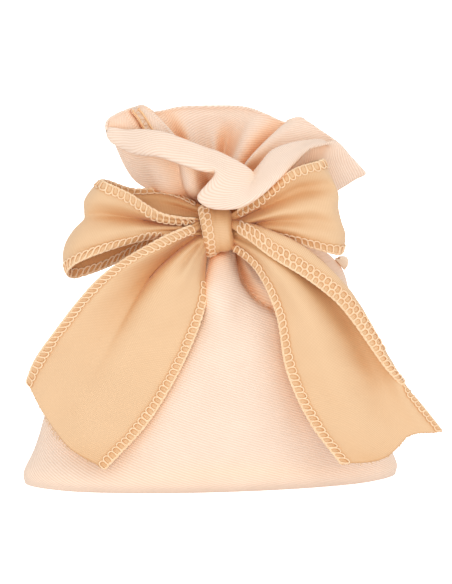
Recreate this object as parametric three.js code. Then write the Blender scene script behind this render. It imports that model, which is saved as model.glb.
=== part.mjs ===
// Favor bag: a plump twill pouch, gathered at its neck and tied shut with an overlocked ribbon bow.
// Millimetres, +Z up, the bow faces -Y. The origin is on the floor, under the middle of the whole object.
import * as THREE from "three";

// Bag cloth
const CLOTH = 0.8; // thickness of the twill
const SEAM_GAP = 0.3; // between the two panels where they are sewn edge to edge
const BASE_WIDTH = 99; // corner to corner along the floor
const BODY_DEPTH = 49; // front to back where the bag is fullest
const BODY_HEIGHT = 64.5; // floor to the foot of the neck
const CORNER_RISE = 2; // how much of the side seam the folded corners take up
const CORNER_ROUND = 1; // how far the corners are rounded off along the floor
const BASE_TWIST = 10; // degrees that the base is turned from the neck, left corner forwards
const LENS = 0.4; // how much the panels draw in towards the side seams

// Gathered neck and the frill above it
const NECK_RADIUS = 8.5;
const NECK_HEIGHT = 10;
const NECK_OFFSET = 2; // the neck sits a little to the right of the base's middle
const PLEATS = 8;
const PLEAT_DEPTH = 2.4;
const MOUTH_WIDTH = 68; // tip to tip of the open frill
const MOUTH_DEPTH = 32; // front crest to back crest
const FRILL_HEIGHT = 22.5; // top of the neck to the highest point of the rim
const HEM_SHARE = 0.18; // of the way down to the bowl, where the rim doesn't roll over
const LIP_BULGE = 0.12; // how far a rolled lip stands out, as a share of its length

// Overlocked seam allowances inside the bag
const ALLOWANCE_WIDTH = 5;
const ALLOWANCE_THICKNESS = 1;
const ALLOWANCE_TURN = [6, 18]; // degrees from the seam, where the allowance lies along the back of the frill
const BOTTOM_SEAM_INSET = 16; // from a corner of the base to the end of the bottom seam's allowance

// Filling that plumps the bag out
const FILLING_HEIGHT = 52;
const FILLING_INSET = 7; // room for the seam allowances along the sides
const FILLING_ROOM = 1.6; // between the middle of a panel and the wad, front and back

// Ribbon
const RIBBON = 0.6; // thickness
const RIBBON_WIDTH = 30; // over both overlocked edges
const OVERLOCK_RADIUS = 0.9; // the thread that wraps each edge
const WRAP_THICKNESS = 1.6; // the ribbon bunched round the neck
const WRAP_HEIGHT = 5;
const WRAP_ROUND = 0.5; // how far the wrap's outer face draws in at its edges
const WRAP_EDGE_RADIUS = 0.6;
const KNOT_WIDTH = 10;
const KNOT_HEIGHT = 11.8;
const KNOT_DEPTH = 8;
const KNOT_DROP = 1; // from the middle of the wrap down to the middle of the knot
const KNOT_EDGE_RADIUS = 0.7; // overlock on the knot's own edge
const LEFT_LOOP_LENGTH = 35.5;
const RIGHT_LOOP_LENGTH = 27.5;
const LOOP_DEPTH = 10;
const LOOP_FOLDS = 1.5; // gathers across a loop
const TAIL_FOLDS = 1.5; // gathers across a tail
const FOLD_DEPTH = 0.8;
const LEFT_TAIL_LENGTH = 61;
const RIGHT_TAIL_LENGTH = 67;
const TAIL_CLEARANCE = 0.9; // from a tail's back face to the bag

// Small ribbon tab that is caught in the right side seam
const TAB_REACH = 3.4;
const TAB_HEIGHT = 4.2;
const TAB_THICKNESS = 1.6;
const TAB_SHARE = 0.885; // of the body's height

const FIT = 0.3; // clearance between pieces that touch

const TWILL = { color: 0xf7dcc8, roughness: 0.85, metalness: 0 };
const SEAM_THREAD = { color: 0xf0c193, roughness: 0.8, metalness: 0 };
const WADDING = { color: 0xfaf6f0, roughness: 1, metalness: 0 };
const RIBBON_CLOTH = { color: 0xe6bd8e, roughness: 0.75, metalness: 0 };
const OVERLOCK_THREAD = { color: 0xf8d8b0, roughness: 0.6, metalness: 0 };

const halfBase = BASE_WIDTH / 2;
const halfDepth = BODY_DEPTH / 2;
const neckTop = BODY_HEIGHT + NECK_HEIGHT;
const wrapInner = NECK_RADIUS + CLOTH / 2 + 1.5 * FIT;
const wrapOuter = wrapInner + WRAP_THICKNESS;
const knotCentre = new THREE.Vector3(
  NECK_OFFSET,
  -(wrapOuter + FIT + KNOT_DEPTH / 2),
  BODY_HEIGHT + NECK_HEIGHT / 2 - KNOT_DROP,
);

const part = new THREE.Group();

function addPiece(name, geometry, look) {
  const mesh = new THREE.Mesh(geometry, new THREE.MeshStandardMaterial(look));
  mesh.name = name;
  part.add(mesh);
  return mesh;
}

function smooth(from, to, value) {
  return THREE.MathUtils.smoothstep(value, from, to);
}

// Turns a geometry's faces round if they point inwards.
function facingOut(positions, indices) {
  const corner = [0, 1, 2].map(() => new THREE.Vector3());
  let volume = 0;
  for (let i = 0; i < indices.length; i += 3) {
    corner.forEach((c, k) => c.fromArray(positions, 3 * indices[i + k]));
    volume += corner[0].dot(corner[1].cross(corner[2]));
  }
  if (volume < 0) indices.reverse();
  const geometry = new THREE.BufferGeometry();
  geometry.setAttribute("position", new THREE.Float32BufferAttribute(positions, 3));
  geometry.setIndex(indices);
  geometry.computeVertexNormals();
  return geometry;
}

// Unit normal of surface(u, v), taken a little inside the sheet's edges, where a corner may come to a point.
function normalAt(surface, u, v) {
  const step = 1e-3;
  const inside = (share) => THREE.MathUtils.clamp(share, 0.02, 0.98);
  const [a, b] = [inside(u), inside(v)];
  const along = surface(a + step, b).sub(surface(a - step, b));
  const across = surface(a, b + step).sub(surface(a, b - step));
  return along.cross(across).normalize();
}

// A closed sheet of cloth round the middle surface(u, v). keep may hold a point to its own side of a seam.
function sheet(surface, columns, rows, thickness, keep = (p) => p) {
  const positions = [];
  for (const side of [0.5, -0.5]) {
    for (let j = 0; j <= rows; j++) {
      for (let i = 0; i <= columns; i++) {
        const [u, v] = [i / columns, j / rows];
        const point = surface(u, v).addScaledVector(normalAt(surface, u, v), side * thickness);
        positions.push(...keep(point).toArray());
      }
    }
  }
  const width = columns + 1;
  const back = width * (rows + 1);
  const indices = [];
  const quad = (a, b, c, d) => indices.push(a, b, c, a, c, d);
  for (let j = 0; j < rows; j++) {
    for (let i = 0; i < columns; i++) {
      const a = j * width + i;
      quad(a, a + 1, a + width + 1, a + width);
      quad(back + a, back + a + width, back + a + width + 1, back + a + 1);
    }
  }
  for (let i = 0; i < columns; i++) {
    const top = rows * width + i;
    quad(i, back + i, back + i + 1, i + 1);
    quad(top, top + 1, back + top + 1, back + top);
  }
  for (let j = 0; j < rows; j++) {
    const left = j * width;
    const right = left + columns;
    quad(left, left + width, back + left + width, back + left);
    quad(right, back + right, back + right + width, right + width);
  }
  return facingOut(positions, indices);
}

// A closed solid through a stack of rings, each a closed list of as many points.
function loft(rings) {
  const count = rings[0].length;
  const positions = rings.flat().flatMap((p) => p.toArray());
  const indices = [];
  for (let j = 0; j + 1 < rings.length; j++) {
    for (let i = 0; i < count; i++) {
      const a = j * count + i;
      const b = j * count + ((i + 1) % count);
      indices.push(a, b, b + count, a, b + count, a + count);
    }
  }
  const last = (rings.length - 1) * count;
  for (let i = 1; i + 1 < count; i++) {
    indices.push(0, i + 1, i, last, last + i, last + i + 1);
  }
  return facingOut(positions, indices);
}

// A round thread along a list of points.
function thread(points, radius, steps) {
  const section = new THREE.Shape();
  section.absarc(0, 0, radius, 0, 2 * Math.PI);
  return new THREE.ExtrudeGeometry(section, {
    extrudePath: new THREE.CatmullRomCurve3(points),
    steps,
    curveSegments: 3,
  });
}

// Side of the bag from the floor to the neck: height, half width and half depth as shares of the body's sizes.
const bodyShares = [
  [0.006, 0.985, 0.8],
  [0.045, 1.0, 0.93],
  [0.14, 0.945, 0.98],
  [0.31, 0.88, 1.0],
  [0.5, 0.83, 0.98],
  [0.66, 0.787, 0.915],
  [0.8, 0.716, 0.8],
  [0.89, 0.64, 0.65],
  [0.95, 0.46, 0.5],
];
const bodyProfile = new THREE.CatmullRomCurve3([
  ...bodyShares.map(([h, w, d]) => new THREE.Vector3(h * BODY_HEIGHT, w * halfBase, d * halfDepth)),
  new THREE.Vector3(BODY_HEIGHT, NECK_RADIUS, NECK_RADIUS),
]);
const profileSamples = bodyProfile.getPoints(120);

// Half width and half depth of the bag at a height.
function bodyAt(height) {
  const above = profileSamples.findIndex((p) => p.x > height);
  if (above < 0) return { width: NECK_RADIUS, depth: NECK_RADIUS };
  if (above === 0) return { width: profileSamples[0].y, depth: profileSamples[0].z };
  const [low, high] = [profileSamples[above - 1], profileSamples[above]];
  const share = (height - low.x) / (high.x - low.x);
  return {
    width: THREE.MathUtils.lerp(low.y, high.y, share),
    depth: THREE.MathUtils.lerp(low.z, high.z, share),
  };
}

// Turn of the bag at a height, from the whole twist on the floor to none at the neck.
function twistAt(height) {
  return THREE.MathUtils.degToRad(BASE_TWIST) * (1 - smooth(0, BODY_HEIGHT, height));
}

// Gives a piece of the bag's body the twist of the cloth.
function twisted(geometry) {
  const points = geometry.getAttribute("position");
  const point = new THREE.Vector3();
  const up = new THREE.Vector3(0, 0, 1);
  for (let i = 0; i < points.count; i++) {
    point.fromBufferAttribute(points, i);
    point.applyAxisAngle(up, twistAt(point.z));
    points.setXYZ(i, point.x, point.y, point.z);
  }
  geometry.computeVertexNormals();
  return geometry;
}

// About how far the front of the bag stands forward at x and z, or the twist's share beside the bag.
function frontDepth(x, z) {
  const body = bodyAt(z);
  const turn = twistAt(z);
  const middle = NECK_OFFSET * smooth(0, BODY_HEIGHT, z);
  const across = Math.min(1, Math.abs(x - middle) / body.width);
  const untwisted = body.depth * Math.sqrt(1 - across * across) * (1 - LENS * across * across);
  return untwisted * Math.cos(turn) - x * Math.sin(turn);
}

// How deep a pleat cuts in at an angle, from 0 on a ridge to 1 in a valley.
function pleatAt(angle) {
  return 0.5 - 0.5 * Math.cos(PLEATS * angle);
}

// Frill, at turns round the bag in degrees from the right tip over the back: its rim, the bowl under it and, where
// it rolls over, the lip's edge, as shares of half the mouth's width, half its depth and the frill's height.
const frillShares = [
  { turn: 0, rim: [1.12, 0, 0.32], bowl: [0.82, 0, 0.06] },
  { turn: 20, rim: [1.02, 0.24, 0.47], bowl: [0.68, 0.27, 0.13] },
  { turn: 36, rim: [0.91, 0.36, 0.64], bowl: [0.5, 0.34, 0.27] },
  { turn: 46, rim: [0.78, 0.45, 0.77], bowl: [0.37, 0.24, 0.41] },
  { turn: 57, rim: [0.64, 0.51, 0.91], bowl: [0.22, 0.06, 0.57] },
  { turn: 68, rim: [0.52, 0.86, 0.85], bowl: [0.36, 0.64, 0.42] },
  { turn: 80, rim: [0.38, 0.91, 0.94], bowl: [0.16, 0.72, 0.38] },
  { turn: 98, rim: [0.15, 0.95, 1.02], bowl: [0.05, 0.75, 0.38] },
  { turn: 124, rim: [-0.32, 0.88, 1.03], bowl: [-0.19, 0.66, 0.38] },
  { turn: 138, rim: [-0.49, 0.69, 0.95], bowl: [-0.26, 0.5, 0.4] },
  { turn: 150, rim: [-0.53, 0.41, 1.03], bowl: [-0.27, 0.25, 0.51] },
  { turn: 164, rim: [-0.6, 0.24, 1.07], bowl: [-0.33, 0.11, 0.55] },
  { turn: 180, rim: [-0.73, 0, 1.03], bowl: [-0.48, 0, 0.38] },
  { turn: 194, rim: [-0.86, -0.15, 0.91], bowl: [-0.63, -0.13, 0.24] },
  { turn: 200, rim: [-0.84, -0.23, 0.85], bowl: [-0.6, -0.23, 0.19], lip: [-0.85, -0.31, 0.77] },
  { turn: 210, rim: [-0.71, -0.42, 0.84], bowl: [-0.52, -0.36, 0.15], lip: [-0.74, -0.55, 0.66] },
  { turn: 234, rim: [-0.41, -0.81, 0.84], bowl: [-0.28, -0.62, 0.2], lip: [-0.45, -1.06, 0.6] },
  { turn: 252, rim: [-0.1, -1, 0.68], bowl: [-0.09, -0.72, 0.2], lip: [-0.12, -1.27, 0.46] },
  { turn: 264, rim: [0.08, -1.05, 0.58], bowl: [0.01, -0.74, 0.2], lip: [-0.1, -1.34, 0.22] },
  { turn: 272, rim: [0.18, -1.06, 0.5], bowl: [0.05, -0.75, 0.2], lip: [-0.04, -1.45, 0.06] },
  { turn: 285, rim: [0.28, -1.05, 0.38], bowl: [0.13, -0.74, 0.2], lip: [0.22, -1.46, 0.1] },
  { turn: 299, rim: [0.41, -0.8, 0.63], bowl: [0.28, -0.59, 0.24], lip: [0.46, -1.25, 0.37] },
  { turn: 318, rim: [0.69, -0.44, 0.72], bowl: [0.47, -0.34, 0.2], lip: [0.68, -0.66, 0.64] },
  { turn: 340, rim: [0.91, -0.22, 0.68], bowl: [0.66, -0.22, 0.11] },
  { turn: 350, rim: [1.02, -0.13, 0.49], bowl: [0.76, -0.13, 0.08] },
];

function frillPoint([x, y, z]) {
  return new THREE.Vector3(
    NECK_OFFSET + (x * MOUTH_WIDTH) / 2,
    (y * MOUTH_DEPTH) / 2,
    neckTop + z * FRILL_HEIGHT,
  );
}
const hem = ({ rim, bowl }) => frillPoint(rim).lerp(frillPoint(bowl), HEM_SHARE);
const roundFrill = (pick) => new THREE.CatmullRomCurve3(frillShares.map(pick), true);
const bowlLine = roundFrill(({ bowl }) => frillPoint(bowl));
const crestLine = roundFrill((key) => (key.lip ? frillPoint(key.rim) : hem(key)));
const edgeLine = roundFrill(({ rim, lip }) => frillPoint(lip ?? rim));

// Share of the way along the frill's lines at an angle round the bag.
function frillShareAt(angle) {
  const turn = THREE.MathUtils.euclideanModulo(THREE.MathUtils.radToDeg(angle), 360);
  const turns = [...frillShares.map((key) => key.turn), 360];
  const next = turns.findIndex((end) => end > turn);
  const [from, to] = [turns[next - 1], turns[next]];
  return (next - 1 + (turn - from) / (to - from)) / frillShares.length;
}

function neckPoint(angle, height) {
  const radius = NECK_RADIUS - PLEAT_DEPTH * pleatAt(angle);
  return new THREE.Vector3(
    NECK_OFFSET + radius * Math.cos(angle),
    radius * Math.sin(angle),
    height,
  );
}

// Rows of a panel in each zone from the bottom seam to the rim, and the share of its length where each zone ends.
const floorRows = 4;
const bodyRows = 10;
const neckRows = 2;
const frillRows = 10;
const panelColumns = 40;
const panelRows = floorRows + bodyRows + neckRows + frillRows;
const zoneEnds = {
  floor: floorRows / panelRows,
  body: (floorRows + bodyRows) / panelRows,
  neck: (floorRows + bodyRows + neckRows) / panelRows,
};

// Middle of the bag's cloth at an angle round the bag and a share of the way from the bottom seam to the rim.
function bagPoint(angle, along) {
  const corner = CORNER_RISE * smooth(0.72, 1, Math.abs(Math.cos(angle)));
  const drawIn = (cosine) => 1 - LENS * cosine * cosine;
  if (along < zoneEnds.floor) {
    const share = along / zoneEnds.floor;
    const start = bodyProfile.getPoint(0);
    return new THREE.Vector3(
      (start.y - (CORNER_ROUND * (1 - share) * corner) / CORNER_RISE) * Math.cos(angle),
      share * start.z * Math.sin(angle) * drawIn(Math.cos(angle)),
      CLOTH / 2 + corner * share,
    );
  }
  if (along < zoneEnds.body) {
    const share = (along - zoneEnds.floor) / (zoneEnds.body - zoneEnds.floor);
    const row = bodyProfile.getPoint(share);
    const gathered = smooth(0.72, 1, row.x / BODY_HEIGHT);
    const pull = 1 - ((gathered * PLEAT_DEPTH) / NECK_RADIUS) * pleatAt(angle);
    const flatten = THREE.MathUtils.lerp(drawIn(Math.cos(angle)), 1, gathered);
    return new THREE.Vector3(
      NECK_OFFSET * smooth(0, BODY_HEIGHT, row.x) + row.y * pull * Math.cos(angle),
      row.z * pull * flatten * Math.sin(angle),
      row.x + corner * (1 - share),
    );
  }
  if (along < zoneEnds.neck) {
    const share = (along - zoneEnds.body) / (zoneEnds.neck - zoneEnds.body);
    return neckPoint(angle, BODY_HEIGHT + share * NECK_HEIGHT);
  }
  const top = neckPoint(angle, neckTop);
  const share = frillShareAt(angle);
  const crest = crestLine.getPoint(share);
  const edge = edgeLine.getPoint(share);
  const fall = edge.clone().sub(crest);
  const outwards = fall.clone().setZ(0).normalize();
  const bulge = crest.clone().addScaledVector(fall, 0.5).addScaledVector(outwards, LIP_BULGE * fall.length());
  const rise = new THREE.CatmullRomCurve3([top, bowlLine.getPoint(share), crest, bulge, edge]);
  return rise.getPoint((along - zoneEnds.neck) / (1 - zoneEnds.neck));
}

// One panel of the bag, kept to its own side of the seams: side is -1 for the front and 1 for the back.
function panel(side) {
  const start = side < 0 ? Math.PI : 0;
  const surface = (u, v) => bagPoint(start + u * Math.PI, v);
  const keep = (p) => {
    p.y = side < 0 ? Math.min(p.y, -SEAM_GAP / 2) : Math.max(p.y, SEAM_GAP / 2);
    p.z = Math.max(p.z, 0);
    return p;
  };
  return sheet(surface, panelColumns, panelRows, CLOTH, keep);
}
addPiece("front_panel", twisted(panel(-1)), TWILL);
addPiece("back_panel", twisted(panel(1)), TWILL);

// Seam allowance that stands in from a side seam, from above the folded corner to the neck, and lies along the
// back panel in the frill.
function sideAllowance(side) {
  const angle = side < 0 ? Math.PI : 0;
  const first = floorRows + 1;
  const rows = panelRows - 3 - first;
  const clear = CLOTH / 2 + 3 * FIT;
  const seam = (v) => bagPoint(angle, (first + v * rows) / panelRows);
  const back = (u, v) => bagPoint(u * Math.PI, v);
  const standing = (u, v) => {
    const step = 1e-3;
    const run = seam(Math.min(1, v + step)).sub(seam(Math.max(0, v - step))).normalize();
    const inwards = new THREE.Vector3(-side * run.z, 0, side * run.x);
    return seam(v).addScaledVector(inwards, clear + u * ALLOWANCE_WIDTH);
  };
  const lying = (u, along) => {
    const turn = THREE.MathUtils.degToRad(THREE.MathUtils.lerp(...ALLOWANCE_TURN, u));
    const share = (angle + side * turn) / Math.PI;
    return back(share, along).addScaledVector(normalAt(back, share, along), -clear - ALLOWANCE_THICKNESS / 2);
  };
  const surface = (u, v) => {
    const along = (first + v * rows) / panelRows;
    const folded = smooth(zoneEnds.neck, zoneEnds.neck + 3 / panelRows, along);
    return standing(u, v).lerp(lying(u, along), folded);
  };
  return sheet(surface, 1, rows, ALLOWANCE_THICKNESS);
}
addPiece("left_side_seam", twisted(sideAllowance(-1)), SEAM_THREAD);
addPiece("right_side_seam", twisted(sideAllowance(1)), SEAM_THREAD);

// Seam allowance along the floor, pressed flat towards the back.
const floorSeamTop = CLOTH + FIT + ALLOWANCE_THICKNESS;
const floorSeamLength = BASE_WIDTH - 2 * BOTTOM_SEAM_INSET;
const floorSeam = new THREE.BoxGeometry(floorSeamLength, ALLOWANCE_WIDTH, ALLOWANCE_THICKNESS);
floorSeam.translate(0, ALLOWANCE_WIDTH / 2, floorSeamTop - ALLOWANCE_THICKNESS / 2);
addPiece("bottom_seam", twisted(floorSeam), SEAM_THREAD);

// The wad inside, which keeps clear of the panels and the seam allowances.
function filling() {
  const foot = floorSeamTop + FIT;
  const rings = [];
  for (const share of [0.02, 0.06, 0.14, 0.28, 0.45, 0.62, 0.78, 0.89, 0.95, 0.98]) {
    const height = foot + (share - 0.02) * FILLING_HEIGHT;
    const body = bodyAt(height);
    const round = Math.sqrt(1 - Math.abs(2 * share - 1) ** 5);
    const ring = [];
    for (let i = 0; i < 28; i++) {
      const angle = (i / 28) * 2 * Math.PI;
      const cosine = Math.cos(angle);
      ring.push(
        new THREE.Vector3(
          NECK_OFFSET * smooth(0, BODY_HEIGHT, height) + (body.width - FILLING_INSET) * round * cosine,
          (body.depth - FILLING_ROOM) * round * Math.sin(angle) * (1 - LENS * cosine * cosine),
          height,
        ),
      );
    }
    rings.push(ring);
  }
  return loft(rings);
}
addPiece("filling", twisted(filling()), WADDING);

// Ribbon bunched round the neck, with its two overlocked edges.
const wrapMiddle = BODY_HEIGHT + NECK_HEIGHT / 2;

function ringRound(profile) {
  const closed = [...profile, profile[0]];
  const ring = new THREE.LatheGeometry(closed.map(([r, z]) => new THREE.Vector2(r, z)), 28);
  ring.rotateX(Math.PI / 2);
  ring.translate(NECK_OFFSET, 0, wrapMiddle);
  return ring;
}

const wrapSide = WRAP_HEIGHT / 2;
addPiece(
  "neck_wrap",
  ringRound([
    [wrapInner, -wrapSide],
    [wrapOuter - WRAP_ROUND, -wrapSide],
    [wrapOuter, -wrapSide / 2],
    [wrapOuter, wrapSide / 2],
    [wrapOuter - WRAP_ROUND, wrapSide],
    [wrapInner, wrapSide],
  ]),
  RIBBON_CLOTH,
);
for (const [name, side] of [["upper", 1], ["lower", -1]]) {
  const height = side * (wrapSide + FIT + WRAP_EDGE_RADIUS);
  const profile = [];
  for (let i = 0; i < 6; i++) {
    const turn = (i / 6) * 2 * Math.PI;
    profile.push([
      wrapInner + WRAP_EDGE_RADIUS * (1 + Math.cos(turn)),
      height + WRAP_EDGE_RADIUS * Math.sin(turn),
    ]);
  }
  addPiece(`neck_wrap_${name}_overlock`, ringRound(profile), OVERLOCK_THREAD);
}

// Knot: a barrel of ribbon that lies across the front of the wrap.
const knotOutline = [
  [0, -0.5],
  [0.8, -0.5],
  [0.95, -0.36],
  [1, 0],
  [0.95, 0.36],
  [0.8, 0.5],
  [0, 0.5],
];
const knot = new THREE.LatheGeometry(
  knotOutline.map(([r, x]) => new THREE.Vector2((r * KNOT_HEIGHT) / 2, x * KNOT_WIDTH)),
  20,
);
knot.rotateZ(Math.PI / 2);
knot.scale(1, 1, KNOT_DEPTH / KNOT_HEIGHT);
knot.rotateX(Math.PI / 2);
knot.translate(...knotCentre.toArray());
addPiece("knot", knot, RIBBON_CLOTH);

// The knot's own overlocked edge, over its front from top to bottom.
const knotEdge = [];
for (let i = 0; i <= 12; i++) {
  const turn = THREE.MathUtils.degToRad(-95 + (i / 12) * 190);
  const off = FIT + KNOT_EDGE_RADIUS;
  knotEdge.push(
    new THREE.Vector3(
      knotCentre.x - KNOT_WIDTH * 0.15,
      knotCentre.y - (KNOT_DEPTH / 2 + off) * Math.cos(turn),
      knotCentre.z + (KNOT_HEIGHT / 2 + off) * Math.sin(turn),
    ),
  );
}
addPiece("knot_overlock", thread(knotEdge, KNOT_EDGE_RADIUS, 18), OVERLOCK_THREAD);

// A strip of ribbon between two edge curves: the cloth, and a thread along each edge. settle moves a point to
// its place in the folds and clear of the bag.
const edgeRoom = 3 * FIT + 2 * OVERLOCK_RADIUS;

function ribbonStrip(name, edgeNames, first, second, settle, columns, rows, threadSpan) {
  const between = (share, v) => first.getPoint(v).lerp(second.getPoint(v), share);
  const widthAt = (v) => first.getPoint(v).distanceTo(second.getPoint(v));
  const cloth = (u, v) => {
    const inset = Math.min(0.36, edgeRoom / widthAt(v));
    return settle(between(inset + u * (1 - 2 * inset), v), u, v);
  };
  addPiece(name, sheet(cloth, columns, rows, RIBBON), RIBBON_CLOTH);
  edgeNames.forEach((edgeName, side) => {
    const points = [];
    for (let i = 0; i <= rows; i++) {
      const v = THREE.MathUtils.lerp(threadSpan[0], threadSpan[1], i / rows);
      const inset = OVERLOCK_RADIUS / widthAt(v);
      points.push(settle(between(side ? 1 - inset : inset, v), side, v));
    }
    addPiece(`${name}_${edgeName}_overlock`, thread(points, OVERLOCK_RADIUS, rows + 4), OVERLOCK_THREAD);
  });
}

// Loops: upper and lower edge from the front of the knot out to the fold and back to the rear of the knot,
// as shares of the loop's length and depth and the ribbon's width.
const leftLoop = {
  upper: [
    [0, -0.02, 0.13],
    [0.25, -0.32, 0.15],
    [0.53, -0.5, 0.37],
    [0.8, -0.02, 0.42],
    [0.5, 0.42, 0.31],
    [0.25, 0.42, 0.27],
    [0, 0.24, 0.16],
  ],
  lower: [
    [0, -0.02, -0.1],
    [0.3, -0.36, -0.08],
    [0.7, -0.55, -0.2],
    [1, -0.02, -0.37],
    [0.7, 0.38, -0.33],
    [0.33, 0.35, -0.16],
    [0, 0.24, -0.07],
  ],
};
const rightLoop = {
  upper: [
    [0, -0.02, 0.13],
    [0.25, -0.28, 0.2],
    [0.57, -0.38, 0.38],
    [0.86, -0.02, 0.55],
    [0.58, 0.36, 0.42],
    [0.27, 0.38, 0.27],
    [0, 0.24, 0.16],
  ],
  lower: [
    [0, -0.02, -0.1],
    [0.3, -0.36, -0.06],
    [0.68, -0.46, -0.14],
    [0.98, -0.02, -0.2],
    [0.68, 0.3, -0.14],
    [0.3, 0.32, -0.05],
    [0, 0.24, -0.07],
  ],
};

function rootX(side) {
  return knotCentre.x + side * (KNOT_WIDTH / 2 + 2 * FIT);
}

function loopEdge(shares, side, length) {
  return new THREE.CatmullRomCurve3(
    shares.map(
      ([x, y, z]) =>
        new THREE.Vector3(
          rootX(side) + side * x * length,
          knotCentre.y + y * LOOP_DEPTH,
          knotCentre.z + z * RIBBON_WIDTH,
        ),
    ),
  );
}

// Gathers that run out of the knot along a loop's two layers and fade towards the fold.
function gatherLoop(point, u, v) {
  const fade = Math.sin(2 * Math.PI * v) ** 2;
  point.y += FOLD_DEPTH * fade * Math.cos(2 * Math.PI * LOOP_FOLDS * u);
  return point;
}

function addLoop(name, shares, side, length) {
  const upper = loopEdge(shares.upper, side, length);
  const lower = loopEdge(shares.lower, side, length);
  ribbonStrip(name, ["upper", "lower"], upper, lower, gatherLoop, 8, 24, [0.04, 0.96]);
}
addLoop("left_loop", leftLoop, -1, LEFT_LOOP_LENGTH);
addLoop("right_loop", rightLoop, 1, RIGHT_LOOP_LENGTH);

// Tails: outer and inner edge from the knot down over the front of the bag, as shares of the tail's length.
const leftTail = {
  outer: [
    [0, -0.044, 0.055],
    [-0.17, -0.1, -0.03],
    [-0.38, -0.115, -0.18],
    [-0.6, -0.09, -0.447],
    [-0.69, -0.05, -0.564],
    [-0.726, -0.025, -0.65],
  ],
  inner: [
    [0, -0.044, -0.065],
    [0.033, -0.1, -0.174],
    [0.036, -0.135, -0.277],
    [-0.036, -0.165, -0.49],
    [-0.208, -0.17, -0.795],
    [-0.395, -0.155, -1.005],
  ],
};
const rightTail = {
  outer: [
    [0, -0.04, 0.05],
    [0.08, -0.085, 0.02],
    [0.24, -0.11, -0.05],
    [0.42, -0.095, -0.27],
    [0.6, -0.06, -0.555],
    [0.785, -0.03, -0.785],
  ],
  inner: [
    [0, -0.04, -0.06],
    [0.06, -0.095, -0.14],
    [0.14, -0.13, -0.3],
    [0.185, -0.155, -0.53],
    [0.275, -0.16, -0.73],
    [0.395, -0.15, -0.895],
  ],
};

function tailEdge(shares, side, length) {
  return new THREE.CatmullRomCurve3(
    shares.map(
      ([x, y, z]) =>
        new THREE.Vector3(
          rootX(side) + x * length,
          knotCentre.y + y * length,
          knotCentre.z + z * length,
        ),
    ),
  );
}

// Gathers that run out of the knot down a tail, and the bag's front, which the tail stays clear of.
function settleTail(point, u, v) {
  const fade = Math.sin(Math.PI * Math.min(1, v / 0.7)) ** 2;
  point.y -= FOLD_DEPTH * fade * Math.cos(2 * Math.PI * TAIL_FOLDS * u + 1);
  const least = frontDepth(point.x, point.z) + CLOTH / 2 + TAIL_CLEARANCE + OVERLOCK_RADIUS;
  point.y = Math.min(point.y, -least);
  return point;
}

function addTail(name, shares, side, length) {
  const outer = tailEdge(shares.outer, side, length);
  const inner = tailEdge(shares.inner, side, length);
  ribbonStrip(name, ["outer", "inner"], outer, inner, settleTail, 8, 16, [0.07, 1]);
}
addTail("left_tail", leftTail, -1, LEFT_TAIL_LENGTH);
addTail("right_tail", rightTail, 1, RIGHT_TAIL_LENGTH);

// Ribbon tab that is caught in the right side seam and stands out from it.
function sideTab() {
  const outline = new THREE.Shape();
  outline.moveTo(0, -TAB_HEIGHT / 2);
  outline.lineTo(TAB_REACH * 0.5, -TAB_HEIGHT / 2);
  outline.quadraticCurveTo(TAB_REACH, -TAB_HEIGHT / 2, TAB_REACH, 0);
  outline.quadraticCurveTo(TAB_REACH, TAB_HEIGHT / 2, TAB_REACH * 0.5, TAB_HEIGHT / 2);
  outline.lineTo(0, TAB_HEIGHT / 2);
  const tab = new THREE.ExtrudeGeometry(outline, { depth: TAB_THICKNESS, bevelEnabled: false, curveSegments: 5 });
  tab.rotateX(Math.PI / 2);
  tab.translate(0, TAB_THICKNESS / 2, 0);
  const height = TAB_SHARE * BODY_HEIGHT;
  const slope = bodyAt(height + 1).width - bodyAt(height - 1).width;
  tab.rotateY(Math.atan2(slope, 2));
  const seamX = bodyAt(height).width + NECK_OFFSET * smooth(0, BODY_HEIGHT, height);
  const away = new THREE.Vector3(2, 0, -slope).normalize().multiplyScalar(CLOTH / 2 + 2 * FIT);
  tab.translate(seamX + away.x, 0, height + away.z);
  return tab;
}
addPiece("side_tab", twisted(sideTab()), RIBBON_CLOTH);

// The origin goes on the floor under the middle of the whole object.
part.updateMatrixWorld(true);
const extent = new THREE.Box3().setFromObject(part);
const middle = extent.getCenter(new THREE.Vector3());
part.position.set(-middle.x, -middle.y, -extent.min.z);

export default part;
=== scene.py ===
# Favor bag: a plump twill pouch tied shut with an overlocked ribbon bow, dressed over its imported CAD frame.
# Shapes are worked out in millimetres in the part's own frame and moved to the row frame in metres.
import math

import bpy
import numpy as np
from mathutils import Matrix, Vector


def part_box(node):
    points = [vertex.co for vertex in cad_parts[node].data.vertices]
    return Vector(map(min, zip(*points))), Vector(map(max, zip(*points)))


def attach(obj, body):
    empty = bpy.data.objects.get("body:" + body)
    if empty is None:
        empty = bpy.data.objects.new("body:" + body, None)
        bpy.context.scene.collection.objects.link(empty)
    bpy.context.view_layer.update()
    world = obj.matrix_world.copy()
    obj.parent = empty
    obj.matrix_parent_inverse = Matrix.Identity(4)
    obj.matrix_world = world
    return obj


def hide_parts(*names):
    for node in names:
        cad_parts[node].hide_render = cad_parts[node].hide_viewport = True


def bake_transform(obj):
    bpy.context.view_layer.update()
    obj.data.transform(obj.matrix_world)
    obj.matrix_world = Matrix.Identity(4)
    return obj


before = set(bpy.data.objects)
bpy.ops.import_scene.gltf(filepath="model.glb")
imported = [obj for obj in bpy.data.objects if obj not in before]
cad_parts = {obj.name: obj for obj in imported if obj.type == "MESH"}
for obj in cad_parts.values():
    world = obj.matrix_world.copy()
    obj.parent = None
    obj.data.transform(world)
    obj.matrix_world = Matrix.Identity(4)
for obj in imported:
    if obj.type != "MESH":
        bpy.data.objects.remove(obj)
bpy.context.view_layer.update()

# Sizes of the part, in millimetres where nothing else is said
CLOTH = 0.8
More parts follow.
